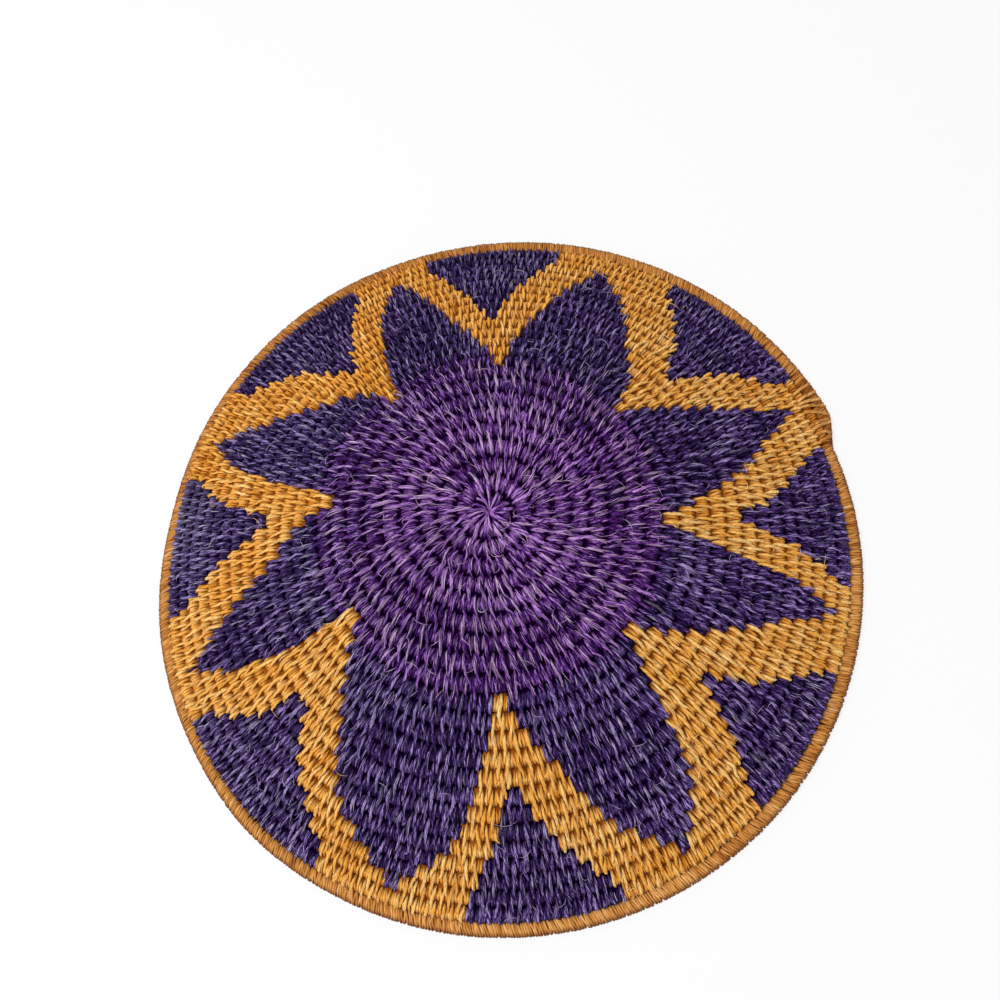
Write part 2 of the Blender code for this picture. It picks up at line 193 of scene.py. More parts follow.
camera_data = bpy.data.cameras.new("camera")
camera_data.sensor_width, camera_data.lens, camera_data.clip_start = 36.0, 27.94, 0.01
camera = add_object("camera", camera_data)
eye = Vector(crown) + Vector(EYE_FROM_CROWN)
forward = Vector(VIEW_FORWARD).normalized()
right = forward.cross(Vector(VIEW_UP)).normalized()
up = right.cross(forward)
camera.matrix_world = Matrix.Translation(eye) @ Matrix((right, up, -forward)).transposed().to_4x4()
bpy.context.scene.camera = camera
bpy.context.scene.view_settings.view_transform = "Standard"
print("camera at", [round(value, 3) for value in eye])

# %% [markdown]
# ## Shader sums in Python
# A finish is a sum of masks and noises. Written as Python expressions it stays readable: a small class
# wraps a socket, and each operator adds the Math node that does it. Colours go through Mix nodes.

# %% A socket that takes part in sums


def linear(red, green, blue):
    """A colour as the eye sees it, 0 to 255, in the renderer's linear scale."""
    scaled = [value / 255 for value in (red, green, blue)]
    return *(one / 12.92 if one <= 0.04045 else ((one + 0.055) / 1.055) ** 2.4 for one in scaled), 1.0


class Signal:
    def __init__(self, finish, socket):
        self.finish, self.socket = finish, socket

    def maths(self, operation, first, second):
        return self.finish.node("Math", {"operation": operation}, {0: first, 1: second})

    def __add__(self, other):
        return self.maths("ADD", self, other)

    def __sub__(self, other):
        return self.maths("SUBTRACT", self, other)

    def __rsub__(self, other):
        return self.maths("SUBTRACT", other, self)

    def __mul__(self, other):
        return self.maths("MULTIPLY", self, other)

    __radd__, __rmul__ = __add__, __mul__

    def power(self, other):
        return self.maths("POWER", self, other)

    def clamped(self):
        return self.maths("MINIMUM", self.maths("MAXIMUM", self, 0.0), 1.0)


# %% The nodes of a finish


class Finish:
    """The nodes of one material, or of the world."""

    def __init__(self, owner):
        owner.use_nodes = True
        self.owner, self.nodes, self.links = owner, owner.node_tree.nodes, owner.node_tree.links
        self.nodes.clear()

    def node(self, kind, settings=None, values=None, output=0):
        """Adds a node: its settings first, then a value or a link for each socket named."""
        node = self.nodes.new("ShaderNode" + kind)
        for key, value in (settings or {}).items():
            if key == "stops":
                while len(node.color_ramp.elements) < len(value):
                    node.color_ramp.elements.new(1.0)
                for element, (place, colour) in zip(node.color_ramp.elements, value):
                    element.position, element.color = place, colour
            else:
                setattr(node, key, value)
        for key, value in (values or {}).items():
            if isinstance(value, Signal):
                self.links.new(value.socket, node.inputs[key])
            else:
                node.inputs[key].default_value = value
        return Signal(self, node.outputs[output]) if node.outputs else node

    def also(self, signal, output):
        """Another output of the node that a signal comes from."""
        return Signal(self, signal.socket.node.outputs[output])

    def mixed(self, share, first, second, blend="MIX"):
        return self.node("Mix", {"data_type": "RGBA", "blend_type": blend},
                         {0: share, 6: first, 7: second}, output=2)

    def noise(self, vector, scale, detail, roughness=0.5):
        return self.node("TexNoise", {}, {
            "Vector": vector, "Scale": scale, "Detail": detail, "Roughness": roughness})

    def stretched(self, vector, scales):
        return self.node("VectorMath", {"operation": "MULTIPLY"}, {0: vector, 1: scales})


# %% The floor and the world
WHITE, WORLD_LEVEL = (1.0, 1.0, 1.0, 1.0), 0.55


def mesh_of(shape, name):
    """The mesh of a finished shape, and its corners' places in three rows."""
    mesh = bpy.data.meshes.new(name)
    shape.to_mesh(mesh)
    shape.free()
    places = np.empty(len(mesh.vertices) * 3)
    mesh.vertices.foreach_get("co", places)
    return mesh, places.reshape(-1, 3).T


pale = Finish(bpy.data.materials.new("pale_floor"))
matt = pale.node("BsdfDiffuse", {}, {"Color": (0.9, 0.9, 0.9, 1.0)})
lit = pale.node("Emission", {}, {"Color": WHITE, "Strength": 1.0})
both = pale.node("MixShader", {}, {0: pale.node("LightPath") * 0.75, 1: matt, 2: lit})
pale.node("OutputMaterial", {}, {0: both})
floor_shape = bmesh.new()
bmesh.ops.create_grid(floor_shape, x_segments=1, y_segments=1, size=3.0)
floor = add_object("floor", mesh_of(floor_shape, "floor")[0])
floor.data.materials.append(pale.owner)

bpy.context.scene.world = bpy.data.worlds.new("even_white")
sky = Finish(bpy.context.scene.world)
from_camera = sky.node("LightPath")
seen = from_camera.maths("MAXIMUM", from_camera, sky.also(from_camera, "Is Transmission Ray"))
white_light = sky.node("Background", {}, {
    "Color": WHITE, "Strength": WORLD_LEVEL + (1 - WORLD_LEVEL) * seen})
sky.node("OutputWorld", {}, {0: white_light})

# %% A large soft lamp
lamp_data = bpy.data.lights.new("soft_lamp", "AREA")
lamp_data.shape, lamp_data.size, lamp_data.energy = "DISK", 0.55, 12.0
lamp = add_object("soft_lamp", lamp_data)
lamp.location = (-0.55, -0.20, 1.25)
lamp.rotation_euler = (-lamp.location).to_track_quat("-Z", "Y").to_euler()
print("lamps:", len(bpy.data.lights))

# %% [markdown]
# ## Chance, kept on a leash
# Hand work is uneven in two ways: each stitch is a little off, and the tension and the dye drift slowly
# along the thread. The first is plain random numbers, the second is random numbers joined by a smooth
# line along the turns of the coil. Every source of chance has its own seed, so each run is the same.

# %% Even and drifting chance


def drift(turn, every, seed):
    """A smooth random value from -1 to 1 that changes about every so many turns."""
    chance = default_rng(seed).uniform(-1, 1, int(TURNS / every) + 4)
    place = np.asarray(turn) / every
    cell = np.floor(place).astype(int)
    share = smooth(place - cell)
    return chance[cell] * (1 - share) + chance[cell + 1] * share


turn_steps = np.linspace(COIL_START_TURN, TURNS + 0.02, 20000)
step_radius = np.where(turn_steps < WALL_END, np.interp(PITCH * turn_steps, DISTANCE, RADIUS),
                       WALL_END_RADIUS + RIM_GROWTH * np.maximum(turn_steps - WALL_END, 0))
LENGTH = np.concatenate(([0.0], np.cumsum(np.diff(turn_steps) * math.tau * step_radius[:-1])))


def evenly(start, end, spacing, unevenness, seed):
    """Turns at which strands sit: one every so many metres of coil, each a little off its place."""
    first, last = np.interp((start, end), turn_steps, LENGTH)
    places = np.arange(first + spacing / 2, last, spacing)
    places = places + default_rng(seed).normal(0, spacing * unevenness, len(places))
    return np.interp(np.sort(places), LENGTH, turn_steps)


print(f"the coil is {LENGTH[-1]:.2f} m long")

# %% [markdown]
# ## The weaver's chart
# The star is worked row by row: where the chart says gold, the weaver binds with gold thread, and the
# other colour is carried along inside. So the colour of a strand depends only on the row it is on and
# its place along it, and the star's edges step once for each row. The chart below holds, for each gold
# chevron, the azimuths of its outer edges and of the dark triangle inside it, at a few distances.

# %% The chart
TIP_AT = 0.0640
OUTER_AT = (0.0665, 0.073, 0.084, 0.098, 0.126, 0.150)
INNER_AT = (0.101, 0.112, 0.126, 0.150)
CHEVRONS = (
    ((-2.5, -2.8, -4.6, -6, -8.5, -12), (1.7, 3.2, 7.8, 12, 20, 25),
     (2.5, 0.5, -1.5, -7), (4, 6.5, 10, 17)),
    ((41, 39.8, 36.5, 32.5, 27.5, 25), (44, 44.8, 48, 54.5, 63, 70.5),
     (41.5, 39.5, 37, 30.5), (43.5, 46.5, 49.5, 57.5)),
    ((87.2, 86.8, 85.3, 82, 76.5, 70.5), (90.8, 91.8, 95.5, 102, 107.5, 112.5),
     (91, 89.5, 87, 80), (93.5, 96, 99.5, 105.5)),
    ((126.7, 126.3, 124.6, 122.5, 118.5, 112.5), (130.8, 131.8, 135.8, 145, 155.5, 161),
     (131, 129, 126.5, 120.5), (133, 137, 140, 150)),
    ((171.5, 170.8, 169.6, 168.5, 166, 161), (176.1, 178.2, 183, 191.5, 198.5, 204),
     (177, 175.5, 174, 168.5), (180, 183.5, 186.5, 193.5)),
    ((214.6, 214.5, 212.9, 212, 208.5, 204), (219.6, 223.4, 228.4, 233.5, 240.5, 254.5),
     (221.5, 220, 218.5, 211.5), (224, 227, 231, 242)),
    ((272.6, 272.2, 270.4, 268, 264, 254.5), (275.7, 277, 280.9, 286, 293, 302),
     (274, 273, 271, 266.5), (275.5, 278.5, 282, 290.5)),
    ((319.4, 318.4, 315.4, 313, 309, 302), (322.8, 324.5, 329.6, 335, 343.5, 348),
     (324, 322, 320, 314.5), (325, 327.5, 331, 338.5)),
)


def inside(distance, azimuth, marks, low, high):
    """Whether a place lies between two edges, and how far it is from the middle between them."""
    low, high = np.interp(distance, marks, low), np.interp(distance, marks, high)
    middle = (low + high) / 2
    away = (azimuth - middle + 180) % 360 - 180
    return (away >= low - middle) & (away < high - middle), away


def piece_at(turn):
    """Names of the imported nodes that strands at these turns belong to."""
    distance, azimuth = wandered(PITCH * turn, azimuth_of(turn)), np.degrees(azimuth_of(turn))
    names = np.full(len(turn), "indigo_petal_8", dtype=object)
    nearest = np.full(len(turn), 720.0)
    for number, (low, high, *_) in enumerate(CHEVRONS, start=1):
        behind = inside(distance, azimuth, OUTER_AT, low, high)[1] % 360
        closer = behind < nearest
        names[closer] = f"indigo_petal_{number}"
        nearest[closer] = behind[closer]
    for number, (low, high, inner_low, inner_high) in enumerate(CHEVRONS, start=1):
        in_gold = inside(distance, azimuth, OUTER_AT, low, high)[0] & (distance > TIP_AT)
        names[in_gold] = f"gold_chevron_{number}"
        in_dark = inside(distance, azimuth, INNER_AT, inner_low, inner_high)[0] & (distance > INNER_AT[0])
        names[in_gold & in_dark] = f"indigo_triangle_{number}"
    not_gold = np.array([not name.startswith("gold") for name in names])
    names[(turn < BASE_END) & (not_gold | (turn < BASE_END - 0.45))] = "base_coil"
    names[turn >= WALL_END] = "rim_coil"
    return names


print("pieces of the coil:", len(set(piece_at(np.linspace(0.5, 23.7, 4000)))))

# %% [markdown]
# ## One strand of thread
# A wrap goes right round the bundle, so it is a closed ring: a small circle spun once about an axis. The
# ring is made once, and each copy is laid along its real path, corner by corner. Ten thousand copies
# have to stay light, so a wrap has eight steps with four corners each. A long stitch is seen more, and
# is laid as three plies that twist round one another, each with three corners.

# %% The plain ring
THREAD = 0.25      # thread radius in the plain ring, whose own radius is 1
WRAP_STEPS, STITCH_STEPS = 8, 18


def make_ring(name, corners, steps):
    """The plain ring, and for each of its corners its step and its place on the thread's section."""
    shape = bmesh.new()
    bmesh.ops.create_circle(shape, radius=THREAD, segments=corners)
    bmesh.ops.translate(shape, verts=shape.verts, vec=(1.0, 0.0, 0.0))
    bmesh.ops.spin(shape, geom=shape.verts[:] + shape.edges[:], cent=(0.0, 0.0, 0.0), axis=(0.0, 1.0, 0.0),
                   angle=math.tau, steps=steps, use_merge=True)
    bmesh.ops.recalc_face_normals(shape, faces=shape.faces)
    layer = shape.loops.layers.uv.new("fibre")
    for face in shape.faces:
        round_it, along = [], []
        for corner in face.loops:
            x, y, z = corner.vert.co
            round_it.append(math.atan2(y, math.hypot(x, z) - 1) / math.tau % 1.0)
            along.append(round(math.atan2(-z, x) / math.tau * steps) % steps / steps)
        for corner, across, length in zip(face.loops, round_it, along):
            corner[layer].uv = across + (max(round_it) - across > 0.5), length + (max(along) - length > 0.5)
    mesh, (x, y, z) = mesh_of(shape, name)
    step = np.round(np.arctan2(-z, x) / math.tau * steps).astype(int) % steps
    return mesh, (step, y / THREAD, (np.hypot(x, z) - 1) / THREAD)


wrap_ring, wrap_places = make_ring("wrap_ring", 4, WRAP_STEPS)
stitch_ring, stitch_places = make_ring("stitch_ring", 3, STITCH_STEPS)
print("a wrap:", len(wrap_ring.polygons), "faces; a ply:", len(stitch_ring.polygons), "faces")

# %% How a copy is laid
GROOVE_SHADE_TOP, GROOVE_SHADE_DEPTH = 0.0030, 0.0010     # a strand gets painted shade below this lift
PLIES, PLY_TWISTS, PLY_THICKNESS = 3, 4, 0.00040
PLY_SPREAD, PLY_RISE, PLY_WIDTH = 0.48, 0.30, 0.66      # shares of the strand's half width


def path_normals(shift, lift):
    """Outward directions along closed paths, one row of points for each strand."""
    run, rise = (np.roll(values, -1, 1) - np.roll(values, 1, 1) for values in (shift, lift))
    size = np.hypot(run, rise)
    return -rise / size, run / size


def coil_points(turn, along, across, lift):
    """Points beside the coil, measured from its place at each turn, and the azimuths they lie at."""
    radius = np.interp(PITCH * turn, DISTANCE, RADIUS)[:, None]
    azimuth = azimuth_of(turn)[:, None] - along / radius
    distance = PITCH * (turn[:, None] + along / (math.tau * radius)) + across
    return wall_points(distance, azimuth, lift), azimuth


def lay_rings(places, turn, slide, shift, lift, half_width, half_thickness, on_rim=False):
    """Corner positions of one ring for each turn, and the painted groove shade of each corner, 0 to 1.

    shift, lift and slide give each strand's path: across the rows, off the wall, and along the coil.
    """
    step, across, out = places
    out_shift, out_lift = path_normals(shift, lift)
    across_rows = shift[:, step] + out * half_thickness * out_shift[:, step]
    off_wall = lift[:, step] + out * half_thickness * out_lift[:, step]
    along = slide[:, step]
    if on_rim:
        moved = turn[:, None] + along / (math.tau * rim_radius(turn))[:, None]
        points, azimuth = rim_points(moved, across_rows, off_wall), azimuth_of(moved)
    else:
        points, azimuth = coil_points(turn, along, across_rows, off_wall)
    clockwise = np.stack((np.sin(azimuth), -np.cos(azimuth), np.zeros_like(azimuth)), axis=-1)
    groove_shade = np.clip((GROOVE_SHADE_TOP - np.abs(off_wall)) / GROOVE_SHADE_DEPTH, 0, 1)
    return points + clockwise * (across * half_width[:, step])[..., None], groove_shade


def lay_plies(turn, slide, shift, lift, half_width, chance, on_rim=False):
    """Each strand as three twisted plies, one after the other: corner positions and painted groove shade."""
    out_shift, out_lift = path_normals(shift, lift)
    start = chance.uniform(0, math.tau, (len(turn), 1))
    twist = math.tau * PLY_TWISTS * np.arange(STITCH_STEPS) / STITCH_STEPS
    laid = []
    for ply in range(PLIES):
        around = start + twist + math.tau * ply / PLIES
        rise = PLY_RISE * half_width * np.sin(around)
        laid.append(lay_rings(
            stitch_places, turn, slide + PLY_SPREAD * half_width * np.cos(around), shift + rise * out_shift,
            lift + rise * out_lift, PLY_WIDTH * half_width, PLY_THICKNESS, on_rim))
    return tuple(np.concatenate(values) for values in zip(*laid))


# %% [markdown]
# ## The fine wraps
# Wraps sit side by side, a little over a millimetre each, and dive into the groove on both sides of the
# row. Seen along the coil each one is a rounded box: it lies nearly flat over the bundle's crown and
# turns down steeply at the sides, where the next row presses against it.

# %% Wraps round the coil
WRAP_SPACING, WRAP_HALF_WIDTH, WRAP_HALF_THICKNESS = 0.00112, 0.00060, 0.00034
BUNDLE_HALF_WIDTH, BUNDLE_HALF_HEIGHT, SQUARENESS = 0.00298, 0.00300, 2.2
SLANT_DRIFT, SLANT_CHANCE, RIM_SLANT = 9.0, 4.0, 12.0      # degrees
RIM_ROOM, PINCH_ROOM, TAIL_THINNING = 0.75, 0.7, 0.55


def coil_share(turn):
    grown = np.minimum(1.0, (turn - COIL_START_TURN) / COIL_START_TAPER)
    return COIL_START_SHARE + (1 - COIL_START_SHARE) * grown


def rounded_box(steps):
    angle = math.tau * np.arange(steps) / steps
    cosine, sine = np.cos(angle), np.sin(angle)
    size = (np.abs(cosine) ** SQUARENESS + np.abs(sine) ** SQUARENESS) ** (-1 / SQUARENESS)
    return -cosine * size, sine * size


def lay_wraps(turn, seed, half_width, top, bottom, on_rim=False):
    chance = default_rng(seed)
    count, azimuth = len(turn), azimuth_of(turn)
    side, rise = rounded_box(WRAP_STEPS)
    share = coil_share(turn)[:, None] * (1 + chance.normal(0, 0.02, (count, 1)))
    if on_rim:
        share = share * (1 - TAIL_THINNING * tail_share(turn))[:, None]
    shift = share * half_width * side
    if on_rim:      # the rim coil swells inward where the last row leaves it room
        room = RIM_ROOM * (0.6 + 0.4 * facing(azimuth, 65.0))
        room = room + PINCH_ROOM * hump(azimuth, *PINCHED)
        shift = shift * (1 + room[:, None] * (side < 0))
    lift = share * np.where(rise > 0, top, bottom) * rise
    lift = lift + chance.normal(0, 0.00010, (count, 1)) * (rise > 0.3)
    if on_rim:      # its inner side is drawn up against the last row, which starts high above it
        drawn_up = 0.45 + 0.55 * np.clip(TURNS - turn, 0, 1)[:, None] * (side < -0.1)
        lift = lift - drawn_up * shift * np.clip(rise, 0, 1)
    slant = SLANT_DRIFT * drift(turn, 0.09, seed + 1) + chance.normal(0, SLANT_CHANCE, count)
    slide = np.tan(np.radians(slant - RIM_SLANT * on_rim))[:, None] * shift
    slide = slide + 0.00018 * np.sin(side * 3 + chance.uniform(0, 6, (count, 1)))
    width = WRAP_HALF_WIDTH * chance.uniform(0.85, 1.2, (count, 1)) * np.ones(WRAP_STEPS)
    return lay_rings(wrap_places, turn, slide, shift, lift, width, WRAP_HALF_THICKNESS, on_rim)


wrap_turns = evenly(COIL_START_TURN + 0.02, WALL_END, WRAP_SPACING, 0.10, 11)
wrap_points, wrap_groove_shade = lay_wraps(wrap_turns, 12, BUNDLE_HALF_WIDTH, BUNDLE_HALF_HEIGHT, BUNDLE_HALF_HEIGHT)
print("wraps:", len(wrap_turns))

# %% [markdown]
# ## The long stitches
# Every third wrap or so is a stitch that ties two rows together. It rises out of the groove on the inner
# side of its own row, crosses the row and the next groove and goes in at the middle of the next row, and
# its other half does the same inside the bowl. The needle goes in between two stitches of that row, now
# to the left, now to the right, which gives the knitted look. So each stitch here looks for the nearest
# gap too. Where the next row has another colour, the stitch is short and dives into the groove like a
# wrap, so that the star's edge stays a clean stair.

# %% Where the stitches go
BASE_STITCH_SPACING, WALL_STITCH_SPACING = 0.0035, 0.0036
FIRST_STITCH_TURN, WHORL_END_TURN, LAST_STITCH_TURN = 0.9, 1.9, WALL_END - 0.035
BASE_LEAN, WALL_LEAN, NEEDLE_SHARE = -0.0024, 0.0006, 0.8
stitch_turns = np.concatenate((
    evenly(FIRST_STITCH_TURN, BASE_END - 0.6, BASE_STITCH_SPACING, 0.08, 21),
    evenly(BASE_END - 0.6, LAST_STITCH_TURN, WALL_STITCH_SPACING, 0.08, 22)))
stitch_radius, next_radius = (np.interp(PITCH * turns, DISTANCE, RADIUS)
                              for turns in (stitch_turns, stitch_turns + 1))
on_base = np.clip((BASE_END - 0.2 - stitch_turns) / 1.2, 0, 1)
lean = on_base * BASE_LEAN + (1 - on_base) * WALL_LEAN * drift(stitch_turns, 0.35, 23)
wanted = stitch_turns + 1 + lean / (math.tau * next_radius)
gaps = (stitch_turns[1:] + stitch_turns[:-1]) / 2
after = np.clip(np.searchsorted(gaps, wanted), 1, len(gaps) - 1)
before_is_near = np.abs(gaps[after] - wanted) >= np.abs(gaps[after - 1] - wanted)
to_gap = (gaps[after - before_is_near] - (stitch_turns + 1)) * math.tau * stitch_radius
reach = np.where(wanted > gaps[-1], lean, lean + NEEDLE_SHARE * (to_gap - lean))
print("stitches:", len(stitch_turns), "reach mm:", (1000 * np.percentile(reach, (5, 50, 95))).round(1))

# %% How a stitch runs, in shares of a row and millimetres off the wall
STITCH_TOP = np.array(((-0.54, 0.8), (-0.46, 2.35), (-0.30, 3.40), (-0.08, 3.85), (0.16, 3.90), (0.40, 3.60),
                       (0.62, 3.40), (0.84, 3.25), (0.97, 2.35)))
SHORT_TOP = np.array(((-0.54, 0.8), (-0.46, 2.30), (-0.34, 3.20), (-0.18, 3.65), (0.00, 3.75), (0.18, 3.60),
                      (0.32, 3.10), (0.43, 2.15), (0.48, 0.8)))
STITCH_WIDTH = (0.72, 0.90, 1.05, 1.18, 1.20, 1.12, 0.98, 0.78, 0.50)


def there_and_back(top):
    """A path over the row and back under it: the top outline, and its mirror image below the wall."""
    return np.concatenate((top, top[..., ::-1, :] * (1, -1)), axis=-2)


def sideways(reach, shift):
    """How far along the coil a stitch has moved at each shift across the rows, and its share of the way."""
    share = np.clip((shift + 0.4 * PITCH) / (1.36 * PITCH), 0, 1.05)
    return reach[:, None] * share, share


def lay_stitches(turn, reach, short, loose, seed):
    chance = default_rng(seed)
    count = len(turn)
    path = there_and_back(np.where(short[:, None, None], SHORT_TOP, STITCH_TOP)) * (PITCH, 0.001)
    longer = chance.normal(0, 0.05, (count, 1)) * ~short[:, None]
    shift = path[..., 0] * (1 + longer * (path[..., 0] > 0)) + chance.normal(0, 0.00015, (count, 1))
    lift = path[..., 1] * (1 + chance.normal(0, 0.03, (count, 1)))
    slide, share = sideways(reach, shift)
    bow = chance.normal(0, 0.00025, (count, 1)) * np.sin(math.pi * np.clip(share, 0, 1))
    curve = 0.00022 * loose[:, None] + chance.normal(0, 0.00020, (count, 1)) * (1 + loose[:, None])
    slide = slide + bow + curve * np.sin(math.tau * share + chance.normal(0, 0.9, (count, 1)))
    width = np.array(STITCH_WIDTH + STITCH_WIDTH[::-1]) * chance.uniform(0.00048, 0.00070, (count, 1))
    width = np.where(short[:, None], np.maximum(width, 0.00056), width)
    return lay_plies(turn, slide, shift, lift, width, chance)


own_piece = piece_at(stitch_turns)
own_colour, next_colour = (np.array([name.split("_")[0] for name in names])
                           for names in (own_piece, piece_at(stitch_turns + 1)))
short = (own_colour != next_colour) & ((own_colour != "base") | (next_colour == "gold"))
short |= stitch_turns > WALL_END - 1.036
stitch_points, stitch_groove_shade = lay_stitches(stitch_turns, reach, short, on_base, 24)
print("short stitches at the star's edges:", int(short.sum()))

# %% [markdown]
# ## The rim
# The last turn is bound on its own with fine gold wraps, and carries the bowl. It stands lower and
# further out than the wall, and is pressed a little flat where it rests.

# %% Wraps round the rim coil
RIM_TOP, RIM_BOTTOM, RIM_SIDE = 0.0034, RIM_HEIGHT - WRAP_HALF_THICKNESS - 0.00020, 0.0029
rim_wrap_turns = evenly(WALL_END, TAIL_START + TAIL_LENGTH, 0.00104, 0.06, 31)
rim_wrap_points, rim_groove_shade = lay_wraps(rim_wrap_turns, 32, RIM_SIDE, RIM_TOP, RIM_BOTTOM, on_rim=True)
print("rim wraps:", len(rim_wrap_turns))

# %% [markdown]
# ## The bundle inside
# Between the strands one looks into the dark of the groove, where the bundle and the thread that is
# carried along close the view. A plain oval tube along each stretch of coil does that. It is drawn out
# of a circle step by step, and lies just under the wraps. Its colour is painted shade: a dark tone of
# the thread, where the real bundle is straw and carried thread.

# %% Tubes under the wraps
TUBE_STEP, TUBE_HALF_WIDTH, TUBE_HALF_HEIGHT = 0.0030, 0.0041, 0.0022
RIM_TUBE_HALF_WIDTH, RIM_TUBE_TOP, RIM_TUBE_BOTTOM = 0.0024, 0.0026, 0.0019


def make_tube(corners, steps):
    """A plain closed tube, one unit long for each step, and its corners' places."""
    shape = bmesh.new()
    bmesh.ops.create_circle(shape, cap_ends=True, radius=1.0, segments=corners)
    bmesh.ops.spin(shape, geom=shape.verts[:] + shape.edges[:] + shape.faces[:], cent=(0.0, 0.0, 0.0),
                   axis=(0.0, 0.0, 1.0), dvec=(0.0, 0.0, 1.0), angle=0.0, steps=steps)
    bmesh.ops.recalc_face_normals(shape, faces=shape.faces)
    layer = shape.loops.layers.uv.new("fibre")
    for face in shape.faces:
        for corner in face.loops:
            x, y, z = corner.vert.co
            corner[layer].uv = (math.atan2(y, x) / math.tau, z / steps)
    return mesh_of(shape, "tube")


def undyed(mesh, points):
    """A part for gather, in the finish of the bundle, whose dark colour is painted shade."""
    return mesh, points[None], np.zeros((1, len(points), 4)), (1.0, 1.0), 1


def lay_tube(start, end):
    """One closed tube along the coil between two turns, as a part."""
    first, last = np.interp((start, end), turn_steps, LENGTH)
    steps = max(2, round((last - first) / TUBE_STEP))
    mesh, (x, y, z) = make_tube(8, steps)
    turn = start + (end - start) * z / steps
    if start >= WALL_END - 1e-6:
        share = 1 - 0.6 * tail_share(turn)
        height = y * np.where(y > 0, RIM_TUBE_TOP, RIM_TUBE_BOTTOM)
        return undyed(mesh, rim_points(turn, x * RIM_TUBE_HALF_WIDTH * share, height * share))
    share = coil_share(turn)
    distance = PITCH * turn + x * TUBE_HALF_WIDTH * share
    return undyed(mesh, wall_points(distance, azimuth_of(turn), y * TUBE_HALF_HEIGHT * share))


tube_turns = np.arange(COIL_START_TURN, TURNS, 0.0004)
tube_names = piece_at(tube_turns)
changes = np.flatnonzero(tube_names[1:] != tube_names[:-1]) + 1
starts, ends = np.append(0, changes), np.append(changes, len(tube_turns) - 1)
runs = list(zip(tube_names[starts], tube_turns[starts], tube_turns[ends]))
print("stretches of one colour:", len(runs))

# %% [markdown]
# ## Stray fibres
# Sisal frays. Some fibres stand off in slack lines and curls. Many more have only come loose from their
# strand and lie along it, undyed at heart, so that they show as pale streaks. Each is a thin closed tube:
# a curl follows a line that bends evenly just above the rows, and a streak follows its stitch.

# %% A thin tube
FIBRE_STEPS = 6
FIBRE_SHARE = np.arange(FIBRE_STEPS + 1) / FIBRE_STEPS
fibre_tube, fibre_places = make_tube(3, FIBRE_STEPS)


def lay_fibres(turn, along, across, lift, angle, thick):
    """Corner positions of one thin tube for each path beside the coil. Each tapers to its ends."""
    x, y, z = fibre_places
    step = np.round(z).astype(int)
    thick = (thick * (1.1 - 0.7 * np.abs(2 * FIBRE_SHARE - 1)))[:, step]
    across = across[:, step] - x * thick * np.sin(angle[:, step])
    along = along[:, step] + x * thick * np.cos(angle[:, step])
    return coil_points(turn, along, across, lift[:, step] + y * thick)[0]


print("a fibre:", len(fibre_tube.polygons), "faces")

# %% Curls
HAIRS, CURLY_SHARE = 520, 0.4


def lay_hairs(seed):
    chance = default_rng(seed)
    low, high = np.interp((0.8, WALL_END - 0.6), turn_steps, LENGTH)
    turn = np.interp(low + (high - low) * chance.random(HAIRS) ** 1.25, LENGTH, turn_steps)
    one = (HAIRS, 1)
    curly = chance.random(one) > 1 - CURLY_SHARE
    heading = np.where(curly, chance.uniform(0, math.tau, one), chance.normal(0, 0.45, one))
    bend = np.where(curly, chance.normal(0, 420.0, one), chance.normal(0, 110.0, one))
    length = np.where(curly, chance.uniform(0.004, 0.009, one), chance.uniform(0.0025, 0.006, one))
    angle = heading + bend * length * FIBRE_SHARE
    part = length / FIBRE_STEPS
    across = np.cumsum(part * np.cos(angle), axis=1) + chance.uniform(-0.004, 0.002, one)
    along = np.cumsum(part * np.sin(angle), axis=1)
    arch = np.where(curly, chance.uniform(0.0004, 0.0016, one), chance.uniform(0.0, 0.0006, one))
    lift = 0.0038 + arch * 4 * FIBRE_SHARE * (1 - FIBRE_SHARE)
    return turn, lay_fibres(turn, along, across, lift, angle, chance.uniform(0.00009, 0.00014, one))


hair_turns, hair_points = lay_hairs(81)
print("curls and slack fibres:", HAIRS)

# %% Streaks along the stitches
STREAKS, BROAD_SHARE = 4200, 0.15


def lay_streaks(seed):
    chance = default_rng(seed)
    favoured = np.clip(0.35 + 0.65 * drift(stitch_turns, 0.045, seed + 1) + 0.5 * on_base, 0.05, None)
    carrier = chance.choice(len(stitch_turns), STREAKS, p=favoured / favoured.sum())
    one = (STREAKS, 1)
    place = chance.uniform(0.04, 0.40, one) + chance.uniform(0.25, 0.55, one) * FIBRE_SHARE
    marks = np.arange(len(STITCH_TOP)) / (len(STITCH_TOP) - 1)
    shift, lift = (np.where(short[carrier][:, None], np.interp(place, marks, short_top),
                            np.interp(place, marks, long_top))
                   for short_top, long_top in zip(SHORT_TOP.T, STITCH_TOP.T))
    slide = sideways(reach[carrier], shift * PITCH)[0] + chance.normal(0, 0.00035, one)
    slide = slide + chance.normal(0, 0.0004, one) * FIBRE_SHARE ** 2
    lift = lift * 0.001 + 0.0005 + chance.uniform(0, 0.0005, one) * FIBRE_SHARE ** 2
    thick = chance.uniform(0.00007, 0.00018, one) + 0.00010 * (chance.random(one) > 1 - BROAD_SHARE)
    turn = stitch_turns[carrier]
    return turn, lay_fibres(turn, slide, shift * PITCH, lift, np.zeros_like(slide), thick)


streak_turns, streak_points = lay_streaks(85)
print("streaks:", STREAKS)
